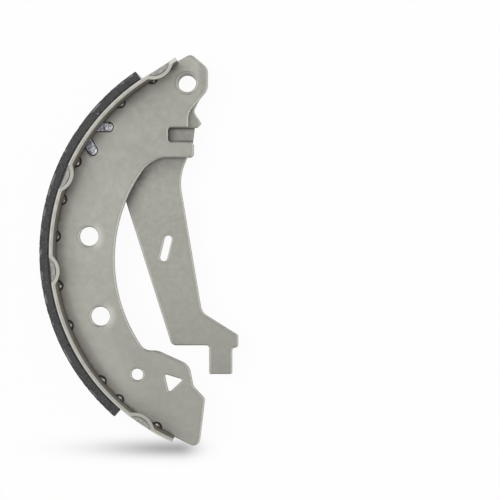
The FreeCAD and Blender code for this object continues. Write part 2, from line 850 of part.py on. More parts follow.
def weld_beads():
    """Quarter beads of weld in the corner between the web's front and the rim."""
    beads = []
    for number in range(1, NUGGETS + 1):
        angle = "nugget_angle_%d" % number
        bead = doc.addObject("Part::Ellipsoid", "bead_%d" % number)
        tie(bead, "Radius1", "nugget_rise")
        tie(bead, "Radius2", "nugget_reach")
        tie(bead, "Radius3", "nugget_length / 2")
        put(bead, polar("rim_bore", angle), "web_front", angle)
        beads.append(bead)
    row = doc.addObject("Part::MultiFuse", "bead_row")
    row.Shapes = beads
    space = doc.addObject("Part::Cylinder", "bead_space")
    tie(space, "Radius", "rim_bore")
    tie(space, "Height", "nugget_rise + web_thickness")
    tie(space, "Placement.Base.z", "web_front")
    return join("Part::Common", "bead_quarters", row, space)


def make_welds():
    """The beads in front of the web, and the same ones behind it."""
    beads = weld_beads()
    front = doc.addObject("Part::Compound", "front_weld_row")
    front.Links = [beads]
    front.Label = "front_welds"
    back = mirrored("back_weld_row", beads)
    back.Label = "back_welds"
    return [front, back]


def rest_on_floor(parts):
    """Put the origin under the middle of the whole shoe, with its edge at zero."""
    box = FreeCAD.BoundBox()
    for part in parts:
        box.add(part.Shape.optimalBoundingBox(False, False))
    shift = FreeCAD.Vector(-box.Center.x, -box.Center.y, -box.ZMin)
    for part in parts:
        part.Placement = FreeCAD.Placement(shift, FreeCAD.Rotation()).multiply(part.Placement)
    doc.recompute()
    return shift


def check(parts):
    """Stop if an object failed, or a sub-part holds no sound solid."""
    for thing in doc.Objects:
        if "Invalid" in thing.State or "Error" in thing.State:
            raise RuntimeError(thing.Label + " could not be made")
    for part in parts:
        if part.Shape.isNull() or not part.Shape.isValid() or not part.Shape.Solids:
            raise RuntimeError(part.Label + " is not a sound solid")


sheet = fill_sheet()
parts = [
    make_web(),
    make_rim(),
    make_film(),
    make_lining(),
    make_lever(),
    make_bush(),
    make_washer(),
    make_tab("upper"),
    make_tab("lower"),
    *make_welds(),
]
doc.recompute()
shift = rest_on_floor(parts)
check(parts)
os.makedirs("parts", exist_ok=True)
for part in parts:
    part.Shape.exportStep("parts/%s.step" % part.Label)
    print("%s: %d solids, %.1f mm3" % (part.Label, len(part.Shape.Solids), part.Shape.Volume))
print("shift from the drum's axis: %.3f %.3f %.3f" % tuple(shift))
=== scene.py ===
import json
import math
import random

import bmesh
import bpy
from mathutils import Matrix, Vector, noise


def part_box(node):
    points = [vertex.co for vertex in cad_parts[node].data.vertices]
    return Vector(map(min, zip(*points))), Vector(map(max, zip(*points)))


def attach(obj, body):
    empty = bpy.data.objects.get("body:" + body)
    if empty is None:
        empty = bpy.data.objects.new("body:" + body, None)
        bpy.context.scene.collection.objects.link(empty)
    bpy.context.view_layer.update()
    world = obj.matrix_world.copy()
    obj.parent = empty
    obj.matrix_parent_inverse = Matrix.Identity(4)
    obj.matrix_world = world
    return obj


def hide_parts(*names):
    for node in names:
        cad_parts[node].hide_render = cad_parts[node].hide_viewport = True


# Looks of a small drum's leading brake shoe, lying on its rim's back edge.
# Lengths are in metres and angles in degrees, about the drum's axis.
# A band is the two ends between which a look comes or goes.

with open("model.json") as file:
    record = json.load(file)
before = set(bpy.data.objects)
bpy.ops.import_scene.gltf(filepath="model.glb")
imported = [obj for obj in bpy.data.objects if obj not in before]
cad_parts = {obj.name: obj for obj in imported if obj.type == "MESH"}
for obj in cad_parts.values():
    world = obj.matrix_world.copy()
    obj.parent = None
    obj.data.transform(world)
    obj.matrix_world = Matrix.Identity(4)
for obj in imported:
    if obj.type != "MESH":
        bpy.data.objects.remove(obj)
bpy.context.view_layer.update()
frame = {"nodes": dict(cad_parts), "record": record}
MOUNTS = {mount["name"]: mount for mount in frame["record"]["mounts"]}

# Sizes of the shoe that the looks follow.
LINING_RADIUS = 0.1013
BOND_RADIUS = 0.0971
RIM_RADIUS = 0.0967
RIM_BORE = 0.0950
LINING_START = 123.9
LINING_END = 229.1
RIM_BEND = 122.4
RIM_END = 245.9
TAIL_TIP = 112.8
STEADY_HOLE = 0.0045
SLOT_LEFT = 0.012975
SLOT_HALF = 0.0034
SEAT_DEPTH = 0.0005

# Nib pockets pressed into both edges of the rim.
POCKETS = (118.2, 158.7, 185.1, 235.8)  # their angles
POCKET_DEPTH = 0.0029
POCKET_HALF = 0.006                     # half the chord
POCKET_FILL = 0.985                     # share of the chord that the floor fills
POCKET_FALL = 0.35                      # how steeply the floor falls outwards
POCKET_LIP = 0.0003                     # how far the floor starts below the rim's edge
POCKET_INSET = 0.00008                  # how far it stays inside the rim's outer face
POCKET_TUCK = 0.0001                    # how far it reaches in under the wall
POCKET_LEAST = 0.00002                  # its least width
POCKET_LUMP = 0.00012                   # how high its lumps are
POCKET_DISH = 0.175                     # how far the outer face is dished, as a share of the width
POCKET_SKIN = 0.0003                    # its thickness
POCKET_ACROSS = 40                      # the mesh's steps along the rim
POCKET_DOWN = 22                        # and from the wall down the outer face

# Weld nuggets along both faces of the web.
NUGGETS = (121.1, 132.5, 153.4, 164.9, 175.5, 189.6, 201.3, 219.6, 226.9, 240.2)  # their angles
NUGGET_HALF = 0.0028                    # half the length along the rim
NUGGET_REACH = 0.0026                   # reach over the web
NUGGET_RISE = 0.0012                    # height of the crest
NUGGET_CREST = 0.00042                  # from the edge to the crest
NUGGET_CORE = 0.0010                    # from the edge to the hollow core
NUGGET_HOLLOW = 0.55                    # depth of the core, as a share of the height
NUGGET_BURNT = 0.64                     # share of the way to the core that is burnt
NUGGET_ROUGH = 0.00012                  # how uneven the skin is
NUGGET_BITE = 0.0004                    # how far it reaches into the rim's wall
NUGGET_SINK = 0.00003                   # and into the web
NUGGET_RINGS = 14                       # the mesh's steps from middle to edge
NUGGET_SPOKES = 36                      # and round the edge
NUGGET_SEED = 31                        # the first nugget's seed

# Clinched tabs: name, radius and angle of the round end's middle, half width,
# length, the way that it runs from there, and how far along its crease lies.
TABS = (("upper", 0.09161, 139.83, 0.00205, 0.0070, 180.0, 0.0026),
        ("lower", 0.09125, 148.26, 0.00220, 0.0080, 122.0, 0.0019))

# The tabs' hammered heads, and the dark ring of painted shade in the gap round them.
GAP_SHARES = (1.18, 1.01)               # the gap's two sides, as shares of the half width
GAP_RISE = 0.00004                      # its height over the web
CROWN_SHARE = 0.98                      # where the head starts, as a share of the half width
CROWN_EDGE = 0.00030                    # height of the head's edge over the web
CROWN_DOME = 0.0008                     # height of its dome over the edge
CROWN_LUMP = 0.00026                    # how high its lumps are
CROWN_ROOT = 0.003                      # how far beyond the crease it falls
CREASE_WIDTH = 0.00035
CROWN_RINGS = 12                        # the mesh's steps from edge to middle
CROWN_AROUND = 96                       # and round the edge
BORE_CLEARANCE = 0.00005                # how far the heads stay off the rim's wall

# The lining block, with its worn ends and edges, its chips and its grain.
END_WEAR = 0.0004
EDGE_WEAR = 0.00028                     # radius of the outer edges
INNER_WEAR = 0.0001                     # radius of the inner edges
SIDE_BAND = 0.0004                      # how near a side the skin also moves sideways
CHIP_COUNT = 90
CHIP_SEED = 11
CHIP_HALF = (0.0004, 0.0016)            # least and most of half a chip's length
CHIP_DEPTH = (0.0002, 0.0006)           # least and most of its depth
SKIN_GRAINS = ((0.00004, 900), (0.00003, 260))  # depth and scale of each grain
LINING_STEPS = 520                      # the mesh's steps along the rim
SIDE_STEPS = 10                         # and on each side, face, back and edge of the section
FACE_STEPS = 34
BACK_STEPS = 16
OUTER_EDGE_STEPS = 4
INNER_EDGE_STEPS = 2

# The pale wedge that shows the slanted cut at the lining's upper end.
CUT_TOP = 0.0008                        # how far it stays below the friction face
CUT_ROOT = 0.0003                       # how far it reaches into the bond
CUT_RUN = 0.0010                        # its run along the rim
CUT_MARGIN = 0.0002                     # how far it stays inside the lining's sides
CUT_WEAR = 0.0001                       # how uneven its run is
CUT_STEPS = 24                          # the mesh's steps across the rim

# Corners closer than this are one corner.
SAME_PLACE = 0.0000005

# Bands of the paint's tone, where light and shade are painted in: up the shoe, across it, and round the
# drum's axis.
FOOT_BAND = (-0.067, -0.002)
SHOULDER_RISE, SHOULDER_FALL = (0.026, 0.046), (0.068, 0.080)
BROW_UP, BROW_ROUND = (0.075, 0.083), (114, 122)
CHEEK_UP, CHEEK_ACROSS = (0.066, 0.072), (0.0265, 0.0292)
LIT_RISE, LIT_FALL = (125, 138), (222, 238)
DUSK_RISE, DUSK_FALL = (116, 128), (218, 232)
WALL_RISE, WALL_FALL = (TAIL_TIP - 0.5, TAIL_TIP + 2), (RIM_END - 2, RIM_END)
BAY_RISE, BAY_FALL = (0.034, 0.045), (0.047, 0.052)

# Bands of the web beside the rim, as distances from the rim's bore: painted light, painted shade, scorched
# paint with painted shade, and the corner where the edges' painted light is left out.
LIT_RING = (-0.020, -0.006)
DUSK_RING = (-0.0060, -0.0014)
SCORCH_RING = (-0.0008, 0.0014)
CORNER_RING = (-0.004, -0.002)

# Bands of the lining's section, as distances from its friction face or its bond.
GROUND_RING = (-0.0002, -0.00005)
WORN_RISE, WORN_FALL = (-0.0013, -0.0009), (-0.0006, -0.0003)
GLUE_RING = (-0.0006, -0.0001)
FLECK_RING = (0.0004, 0.0012)

# Other bands and reaches of the paint.
SHEEN_RING = (0.0003, 0.0042)           # from a steady hole's edge, for the painted highlight beside it
HUB_RING = (0.0070, 0.0076)             # from the hub's middle, where the painted light and shade on the rolled edges start
SEAM_BAND = (0.0001, 0.00035)           # from the middle of the rim's edge
OUTER_RING = (-0.0008, -0.0003)         # from the rim's outer face, for the painted highlight along it
SEAT_CORNER = 0.0016                    # how far the painted shade in the seat's corners reaches
SEAT_SHADE = (0.0006, 0.0055)           # from the strut slot's end
SHADE_REACH = 0.009                     # how far the web's shade falls on the lever
EDGE_ROLL = 0.0020                      # how wide a blanked edge is rolled over, and how far its painted light and shade reach
EDGE_SOFTENING = 0.0006                 # how wide it is soft to the light

# Where the camera stands over the shoe, and its lens and sensor in millimetres.
CAMERA_PLACE = (0.05178, 0.00015, 1.023)
CAMERA_LENS = 152.7
CAMERA_SENSOR = 36

# The plain level of the light all round, and the lamps: name, place, size, and the
# share of the plain level that each gives at the middle of the shoe.
WORLD_LEVEL = 0.28
SOFTBOXES = (("left_softbox", (-0.48, 0.16, 1.10), (0.8, 0.8), 0.42),
             ("overhead_softbox", (0.10, 0.12, 1.25), (0.5, 0.5), 0.26),
             ("right_softbox", (1.0, 0.0, 0.42), (0.7, 0.35), 0.09))
SOFTBOX_AIM = (0, 0, 0.02)

# The floor: half its width, and how far it lies below the shoe.
FLOOR_HALF = 6.0
FLOOR_DROP = 0.00002

# Where the painted shadow of the shoe lies on the floor, how far it reaches left, right and up or down, and
# how deep it is.
SHADOW_PLACE = (0.0171, -0.0955)
SHADOW_LEFT = 0.036
SHADOW_RIGHT = 0.0094
SHADOW_HALF = 0.0041
SHADOW_DEPTH = 0.68

# Colours, as linear red, green and blue.
PAINT = (0.385, 0.378, 0.330)
PAINT_LEVER = (0.335, 0.328, 0.283)
PAINT_HIGHLIGHT = (0.66, 0.65, 0.59)
POCKET = (0.43, 0.425, 0.395)
POCKET_LINE = (0.055, 0.052, 0.045)
SHADE_AND_SCORCH = (0.060, 0.052, 0.042)
WALL = (0.135, 0.120, 0.095)
SPECK = (0.10, 0.09, 0.07)
FRICTION = (0.062, 0.062, 0.063)
FRICTION_PALE = (0.20, 0.20, 0.20)
FRICTION_DARK = (0.028, 0.028, 0.029)
BOND = (0.010, 0.010, 0.010)
ZINC = (0.56, 0.565, 0.61)
ZINC_DARK = (0.15, 0.15, 0.185)
ZINC_HIGHLIGHT = (0.80, 0.80, 0.84)
WELD = (0.012, 0.010, 0.008)
WELD_CORE = (0.20, 0.18, 0.15)
WELD_HIGHLIGHT = (0.62, 0.58, 0.54)
CUT_END = (0.66, 0.66, 0.63)
TAB_GAP_SHADE = (0.028, 0.027, 0.026)
WHITE = (1.0, 1.0, 1.0)
FLOOR = (0.92, 0.92, 0.92)
SHADE = (0.12, 0.12, 0.12)


def drum_axis():
    """The drum's axis in plan, from the middle of the friction face."""
    face = MOUNTS["friction_face"]
    middle, outwards = Vector(face["pos_m"]), Vector(face["axis"])
    return middle - LINING_RADIUS * outwards


AXIS = drum_axis()
BACK, FRONT = (corner.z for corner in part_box("rim"))
WEB_BACK, WEB_FRONT = (corner.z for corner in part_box("web"))
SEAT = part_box("parking_lever")[1].z - SEAT_DEPTH


def toned(colour, share):
    """The colour, made lighter or darker by a share."""
    return tuple(channel * share for channel in colour)


def from_radius(radius, ring):
    """A band of radii, from its distances to one radius."""
    return radius + ring[0], radius + ring[1]


def turns(start, stop):
    """A band of angles about the drum's axis, as Shader.round_axis counts them."""
    return math.radians(start - 180), math.radians(stop - 180)


class Shader:
    """A material in the making, with short calls for the nodes that it uses."""

    def __init__(self, name):
        self.material = bpy.data.materials.new(name)
        self.material.use_nodes = True
        self.nodes = self.material.node_tree.nodes
        self.links = self.material.node_tree.links
        self.surface = self.nodes["Principled BSDF"]
        self.place = self.nodes.new("ShaderNodeTexCoord").outputs["Object"]

    def feed(self, socket, value):
        """Link an output to a socket, or set the socket to a plain value."""
        if isinstance(value, bpy.types.NodeSocket):
            self.links.new(value, socket)
        elif isinstance(value, tuple) and len(value) == 3 and len(socket.default_value) == 4:
            socket.default_value = (*value, 1)
        else:
            socket.default_value = value

    def math(self, operation, *values):
        node = self.nodes.new("ShaderNodeMath")
        node.operation = operation
        for socket, value in zip(node.inputs, values):
            self.feed(socket, value)
        return node.outputs[0]

    def times(self, *values):
        """The product of masks."""
        product = values[0]
        for value in values[1:]:
            product = self.math("MULTIPLY", product, value)
        return product

    def length(self, x, y):
        """The length of a way in plan."""
        return self.math("SQRT", self.math("ADD", self.times(x, x), self.times(y, y)))

    def vector_math(self, operation, first, second):
        node = self.nodes.new("ShaderNodeVectorMath")
        node.operation = operation
        self.feed(node.inputs[0], first)
        self.feed(node.inputs[1], second)
        return node.outputs

    def moved(self, shift):
        """The place on the piece, measured from another origin."""
        return self.vector_math("SUBTRACT", self.place, shift)[0]

    def parts(self, vector):
        node = self.nodes.new("ShaderNodeSeparateXYZ")
        self.feed(node.inputs[0], vector)
        return node.outputs

    def vector(self, x, y, z):
        node = self.nodes.new("ShaderNodeCombineXYZ")
        for socket, value in zip(node.inputs, (x, y, z)):
            self.feed(socket, value)
        return node.outputs[0]

    def round_axis(self):
        """Radius, angle in radians and height of the place about the drum's axis."""
        x, y, z = self.parts(self.moved((AXIS.x, AXIS.y, 0)))
        # The angle is counted from the far side, so that its step lies off the shoe.
        turn = self.math("ARCTAN2", self.times(y, -1.0), self.times(x, -1.0))
        return self.length(x, y), turn, z

    def facing(self):
        """The way that the plain surface faces."""
        return self.nodes.new("ShaderNodeNewGeometry").outputs["True Normal"]

    def outward_share(self):
        """How far the surface faces away from the drum's axis, from minus one to one."""
        in_plan = self.vector_math("MULTIPLY", self.moved((AXIS.x, AXIS.y, 0)), (1.0, 1.0, 0.0))[0]
        away = self.nodes.new("ShaderNodeVectorMath")
        away.operation = "NORMALIZE"
        self.feed(away.inputs[0], in_plan)
        return self.vector_math("DOT_PRODUCT", away.outputs[0], self.facing())["Value"]

    def level_share(self):
        """One on faces that lie level, and nought on upright ones."""
        upward = self.parts(self.facing())[2]
        return self.span(self.math("ABSOLUTE", upward), 0.55, 0.85)

    def noise(self, scale, detail=3.0, rough=0.5, warp=0.0, at=None):
        node = self.nodes.new("ShaderNodeTexNoise")
        self.feed(node.inputs["Vector"], at or self.place)
        node.inputs["Scale"].default_value = scale
        node.inputs["Detail"].default_value = detail
        node.inputs["Roughness"].default_value = rough
        node.inputs["Distortion"].default_value = warp
        return node.outputs["Fac"]

    def cells(self, scale):
        """Distance to the nearest of many scattered points, and a number for each point."""
        node = self.nodes.new("ShaderNodeTexVoronoi")
        self.feed(node.inputs["Vector"], self.place)
        node.inputs["Scale"].default_value = scale
        return node.outputs["Distance"], self.parts(node.outputs["Color"])[0]

    def specks(self, scale, size, share):
        """Small round dots, on a share of the scattered points."""
        distance, number = self.cells(scale)
        dot = self.fall(distance, size * 0.6, size)
        return self.times(dot, self.math("LESS_THAN", number, share))

    def span(self, value, low, high, to_low=0.0, to_high=1.0):
        """Map a range of a value smoothly to another range, and hold it there."""
        node = self.nodes.new("ShaderNodeMapRange")
        node.interpolation_type = "SMOOTHSTEP"
        self.feed(node.inputs["Value"], value)
        for name, number in (("From Min", low), ("From Max", high),
                             ("To Min", to_low), ("To Max", to_high)):
            node.inputs[name].default_value = number
        return node.outputs["Result"]

    def fall(self, value, low, high, top=1.0):
        """All of a mask below a range of a value, and none of it above."""
        return self.span(value, low, high, top, 0.0)

    def window(self, value, rise, fall):
        """A mask that rises over one range of a value and falls over another."""
        return self.times(self.span(value, *rise), self.fall(value, *fall))

    def grain(self, scale, detail, rough, low=0.0, high=1.0):
        """Noise, drawn out to its full range."""
        return self.span(self.noise(scale, detail, rough), 0.3, 0.7, low, high)

    def mix(self, share, first, second):
        node = self.nodes.new("ShaderNodeMix")
        node.data_type = "RGBA"
        self.feed(node.inputs["Factor"], share)
        self.feed(node.inputs["A"], first)
        self.feed(node.inputs["B"], second)
        return node.outputs["Result"]

    def rounded(self, radius):
        """A normal that rolls sharp edges over."""
        node = self.nodes.new("ShaderNodeBevel")
        node.samples = 8
        node.inputs["Radius"].default_value = radius
        return node.outputs["Normal"]

    def open_share(self, reach):
        """How much of the sky is open over the surface, within a reach."""
        node = self.nodes.new("ShaderNodeAmbientOcclusion")
        node.samples = 8
        node.inputs["Distance"].default_value = reach
        return node.outputs["AO"]

    def bumps(self, *layers, normal=None):
        """Stack bumps, each a height from nought to one and its depth in metres."""
        for height, depth in layers:
            node = self.nodes.new("ShaderNodeBump")
            node.inputs["Strength"].default_value = 1.0
            node.inputs["Distance"].default_value = depth
            self.feed(node.inputs["Height"], height)
            if normal:
                self.feed(node.inputs["Normal"], normal)
            normal = node.outputs["Normal"]
        self.feed(self.surface.inputs["Normal"], normal)

    def finish(self, colour, rough, metal=0.0, specular=0.5):
        self.feed(self.surface.inputs["Base Color"], colour)
        self.feed(self.surface.inputs["Roughness"], rough)
        self.surface.inputs["Metallic"].default_value = metal
        self.surface.inputs["Specular IOR Level"].default_value = specular
        return self.material


def paint_tone(shader, colour):
    """Satin paint: soft clouds, a fine mottle and dark specks, with painted shade at foot and shoulder."""
    clouds = shader.grain(28, 4, 0.55)
    tone = shader.mix(clouds, toned(colour, 0.965), toned(colour, 1.035))
    upward = shader.parts(shader.place)[1]
    # Painted shade: the paint is darker towards the foot and across the shoulder.
    shade_tone = toned(colour, 0.74)
    tone = shader.mix(shader.fall(upward, *FOOT_BAND, 0.58), tone, shade_tone)
    shoulder = shader.window(upward, SHOULDER_RISE, SHOULDER_FALL)
    tone = shader.mix(shader.times(shoulder, 0.45), tone, shade_tone)
    mottle = shader.span(shader.noise(620, 4, 0.65), 0.35, 0.65)
    tone = shader.mix(shader.times(mottle, 0.16), tone, toned(colour, 0.72))
    return shader.mix(shader.specks(150, 0.035, 0.22), tone, SPECK)


def orange_peel(shader):
    """The paint's fine and wide waves, over edges that are a little soft."""
    shader.bumps((shader.noise(900, 2, 0.5), 0.000012), (shader.noise(90, 3, 0.5), 0.00006),
                 normal=shader.rounded(EDGE_SOFTENING))


def peel_and_edge_light(shader, tone, share=1.0):
    """Orange peel, and painted highlights and shade on edges that the blanking rolled over: highlights
    sideways, shade up and down.
    """
    x, y, _ = shader.parts(shader.rounded(EDGE_ROLL))
    level = shader.times(shader.level_share(), share)
    # Painted shade: a dark line inside edges that lean right, and dark edges that face up or down; painted
    # highlights on edges that lean right or left.
    line = shader.times(shader.window(x, (0.01, 0.06), (0.10, 0.20)), level, 0.65)
    tone = shader.mix(line, tone, toned(PAINT, 0.5))
    upright = shader.times(shader.span(shader.math("ABSOLUTE", y), 0.25, 0.6), level, 0.6)
    tone = shader.mix(upright, tone, toned(PAINT, 0.42))
    right = shader.times(shader.span(x, 0.18, 0.42), level, 0.75)
    tone = shader.mix(right, tone, PAINT_HIGHLIGHT)
    left = shader.times(shader.span(shader.times(x, -1.0), 0.10, 0.6), level, 0.9)
    tone = shader.mix(left, tone, PAINT_HIGHLIGHT)
    orange_peel(shader)
    return tone


def paint_gloss(shader):
    return shader.grain(300, 3, 0.6, 0.42, 0.56)


def from_mount(shader, mount):
    """The way right from a mount, and the distance from it, in plan."""
    place = MOUNTS[mount]["pos_m"]
    x, y, _ = shader.parts(shader.moved((place[0], place[1], 0)))
    return x, shader.length(x, y)


def hole_highlight(shader, tone, hole):
    """A painted highlight beside a hole, on the side away from the rim."""
    right, away = from_mount(shader, hole)
    # Painted highlight: a pale ring on the hole's side away from the rim.
    ring = shader.fall(away, *from_radius(STEADY_HOLE, SHEEN_RING))
    side = shader.span(shader.math("DIVIDE", right, away), 0.1, 0.9)
    return shader.mix(shader.times(ring, side, 0.55), tone, PAINT_HIGHLIGHT)


def web_light(shader, tone, radius, turn):
    """Painted light near the rim and on the brow, and painted shade on the cheek right of the hub."""
    pale = toned(PAINT, 1.25)
    # Painted light near the rim's wall, to offset its shadow.
    lit = shader.times(shader.span(radius, *from_radius(RIM_BORE, LIT_RING)),
                       shader.window(turn, turns(*LIT_RISE), turns(*LIT_FALL)), 0.5)
    tone = shader.mix(lit, tone, pale)
    right, upward, _ = shader.parts(shader.place)
    brow = shader.times(shader.fall(turn, *turns(*BROW_ROUND), 0.38), shader.span(upward, *BROW_UP))
    tone = shader.mix(brow, tone, pale)
    # Painted shade on the cheek right of the hub.
    cheek = shader.times(shader.span(right, *CHEEK_ACROSS), shader.span(upward, *CHEEK_UP), 0.85)
    return shader.mix(cheek, tone, toned(PAINT, 0.76))


def web_corner_shade(shader, tone, radius, turn, walled):
    """Painted shade in the corner below the rim's wall, and a dark line at its foot that is scorched paint
    and painted shade.
    """
    # Painted shade falling from the rim's wall over the web.
    dusk = shader.times(shader.span(radius, *from_radius(RIM_BORE, DUSK_RING)), walled,
                        shader.span(turn, *turns(*DUSK_RISE), 0.3, 1.0),
                        shader.span(turn, *turns(*DUSK_FALL), 1.0, 0.1), 0.5)
    tone = shader.mix(dusk, tone, toned(SHADE_AND_SCORCH, 1.6))
    # A dark line at the wall's foot: scorched paint, and painted shade in the corner.
    uneven = shader.math("MULTIPLY_ADD", shader.noise(260, 3, 0.6), 0.0022, radius)
    scorch = shader.times(shader.span(uneven, *from_radius(RIM_BORE, SCORCH_RING)), walled, 0.7)
    return shader.mix(scorch, tone, SHADE_AND_SCORCH)


def make_web_paint():
    shader = Shader("web_paint")
    radius, turn, _ = shader.round_axis()
    walled = shader.window(turn, turns(*WALL_RISE), turns(*WALL_FALL))
    tone = paint_tone(shader, PAINT)
    tone = web_light(shader, tone, radius, turn)
    tone = web_corner_shade(shader, tone, radius, turn, walled)
    for hole in ("upper_steady_hole", "lower_steady_hole"):
        tone = hole_highlight(shader, tone, hole)
    corner = shader.times(shader.span(radius, *from_radius(RIM_BORE, CORNER_RING)), walled)
    from_hub = from_mount(shader, "pivot_bore")[1]
    clear = shader.times(shader.math("SUBTRACT", 1.0, corner), shader.span(from_hub, *HUB_RING))
    tone = peel_and_edge_light(shader, tone, clear)
    return shader.finish(tone, paint_gloss(shader))


def make_rim_paint():
    """Paint on the rim: a dark inner wall, and a level edge with a broken seam and a painted highlight along
    its outer side.
    """
    shader = Shader("rim_paint")
    radius = shader.round_axis()[0]
    tone = paint_tone(shader, toned(PAINT, 1.16))
    inward = shader.fall(shader.outward_share(), -0.7, -0.2)
    tone = shader.mix(shader.times(inward, shader.grain(220, 4, 0.6, 0.8, 1.0)), tone, WALL)
    level = shader.level_share()
    broken = shader.span(shader.noise(300, 3, 0.6), 0.42, 0.6)
    middle = (RIM_RADIUS + RIM_BORE) / 2
    from_middle = shader.math("ABSOLUTE", shader.math("SUBTRACT", radius, middle))
    seam = shader.times(shader.fall(from_middle, *SEAM_BAND), broken, level, 0.4)
    tone = shader.mix(seam, tone, toned(PAINT, 0.5))
    # Painted highlight along the outer side of the level edge.
    outer = shader.times(shader.span(radius, *from_radius(RIM_RADIUS, OUTER_RING)), level, 0.75)
    tone = shader.mix(outer, tone, PAINT_HIGHLIGHT)
    orange_peel(shader)
    return shader.finish(tone, paint_gloss(shader))


def make_pocket_paint():
    """Paint over the stretched metal of a nib pocket, with fine wrinkles across it."""
    shader = Shader("pocket_paint")
    warped = shader.noise(420, 3, 0.7, 1.2)
    tone = shader.mix(shader.span(warped, 0.42, 0.62), POCKET, toned(POCKET, 0.7))
    crumbs = shader.span(shader.noise(1500, 2, 0.6), 0.6, 0.75, 0.0, 0.4)
    tone = shader.mix(crumbs, tone, toned(POCKET, 0.45))
    shader.bumps((warped, 0.0002))
    return shader.finish(tone, paint_gloss(shader))


def make_lever_paint():
    """Paint on the lever, with painted shade on the seat in the strut slot, in its corners, and below the
    bay's top.
    """
    shader = Shader("lever_paint")
    tone = paint_tone(shader, PAINT_LEVER)
    height = shader.parts(shader.place)[2]
    seat = shader.window(height, (SEAT - 0.0002, SEAT - 0.0001), (SEAT + 0.0001, SEAT + 0.0002))
    # Painted shade: the seat in the strut slot is darker.
    tone = shader.mix(seat, tone, toned(PAINT_LEVER, 0.72))
    x, y, _ = shader.parts(shader.moved((SLOT_LEFT, MOUNTS["strut_slot"]["pos_m"][1], 0)))
    to_side = shader.math("SUBTRACT", SLOT_HALF, shader.math("ABSOLUTE", y))
    nearest = shader.math("MINIMUM", x, to_side)
    # Painted shade in the seat's corners and towards the slot's end.
    corner = shader.times(shader.fall(nearest, 0.0, SEAT_CORNER), seat, 0.9)
    tone = shader.mix(corner, tone, SHADE_AND_SCORCH)
    tone = shader.mix(shader.times(shader.fall(x, *SEAT_SHADE, 0.4), seat), tone, SHADE_AND_SCORCH)
    unseated = shader.math("SUBTRACT", 1.0, seat)
    tone = peel_and_edge_light(shader, tone, unseated)
    upward = shader.parts(shader.place)[1]
    below_bay_top = shader.times(shader.span(upward, *BAY_RISE, 1.0, 0.3), shader.fall(upward, *BAY_FALL))
    # Painted shade where the web overhangs the lever, below the bay's top.
    shut = shader.fall(shader.open_share(SHADE_REACH), 0.66, 0.985)
    tone = shader.mix(shader.times(shut, below_bay_top, unseated, 0.78), tone, toned(SHADE_AND_SCORCH, 0.5))
    return shader.finish(tone, paint_gloss(shader))


def make_bush_paint():
    shader = Shader("bush_paint")
    tone = peel_and_edge_light(shader, paint_tone(shader, PAINT), 0.6)
    return shader.finish(tone, paint_gloss(shader))


def friction_sides(shader, tone, radius):
    """The lining's sides: a worn pale line near the drum, dark glue and flecks near the rim."""
    level = shader.level_share()
    rough_line = shader.span(shader.noise(190, 3, 0.6), 0.5, 0.62)
    near_edge = shader.window(radius, from_radius(LINING_RADIUS, WORN_RISE),
                              from_radius(LINING_RADIUS, WORN_FALL))
    tone = shader.mix(shader.times(near_edge, rough_line, level, 0.85), tone, toned(FRICTION_PALE, 1.2))
    oozed = shader.math("MULTIPLY_ADD", shader.noise(420, 3, 0.6), -0.0014, radius)
    glue = shader.times(shader.fall(oozed, *from_radius(BOND_RADIUS, GLUE_RING)), level, 0.85)
    tone = shader.mix(glue, tone, BOND)
    by_rim = shader.fall(radius, *from_radius(BOND_RADIUS, FLECK_RING))
    flecks = shader.times(shader.specks(260, 0.12, 0.3), by_rim, level)
    return shader.mix(flecks, tone, toned(FRICTION_PALE, 3.2))


def make_friction():
    """Moulded friction compound, ground round the drum on its outer face."""
    shader = Shader("friction_compound")
    radius, turn, height = shader.round_axis()
    grain = shader.grain(1500, 4, 0.7)
    tone = shader.mix(grain, FRICTION_DARK, toned(FRICTION, 1.35))
    tone = shader.mix(shader.grain(120, 3, 0.6, 0.0, 0.35), tone, toned(FRICTION, 1.5))
    along = shader.times(turn, LINING_RADIUS)
    streaked = shader.vector(shader.times(along, 0.05), height, radius)
    ground = shader.span(radius, *from_radius(LINING_RADIUS, GROUND_RING))
    streaks = shader.times(shader.span(shader.noise(2600, 3, 0.6, at=streaked), 0.35, 0.7), ground)
    tone = shader.mix(shader.times(streaks, 0.5), tone, toned(FRICTION, 1.9))
    tone = shader.mix(shader.specks(900, 0.16, 0.16), tone, FRICTION_PALE)
    tone = shader.mix(shader.specks(420, 0.09, 0.12), tone, toned(FRICTION_PALE, 1.9))
    tone = friction_sides(shader, tone, radius)
    pits = shader.span(shader.cells(700)[0], 0.05, 0.35)
    shader.bumps((grain, 0.00005), (pits, 0.00007), (streaks, 0.00004))
    return shader.finish(tone, shader.grain(500, 2, 0.5, 0.74, 0.92), specular=0.35)


def make_bond():
    shader = Shader("bond")
    tone = shader.mix(shader.noise(700, 3, 0.6), BOND, toned(BOND, 2.6))
    shader.bumps((shader.noise(800, 3, 0.6), 0.00008))
    return shader.finish(tone, 0.6)


def make_zinc():
    """Bright plate over a hammered shank, dark where the punch dragged it."""
    shader = Shader("zinc_plate")
    drag = shader.span(shader.noise(520, 3, 0.7, 0.8), 0.40, 0.66)
    tone = shader.mix(drag, ZINC, ZINC_DARK)
    shader.bumps((shader.noise(700, 2, 0.5, 0.4), 0.00022), (shader.noise(2200, 2, 0.5), 0.00002))
    return shader.finish(tone, shader.grain(900, 2, 0.5, 0.42, 0.6), metal=0.6)


def make_plain(name, colour, dark, rough, metal=0.0):
    """Bare or burnt metal with a mottled colour and a fine bump."""
    shader = Shader(name)
    mottle = shader.span(shader.noise(1300, 3, 0.6), 0.35, 0.65)
    tone = shader.mix(mottle, colour, toned(colour, dark))
    shader.bumps((shader.noise(1100, 3, 0.6), 0.00006))
    return shader.finish(tone, shader.grain(700, 2, 0.5, rough, rough + 0.15), metal=metal)


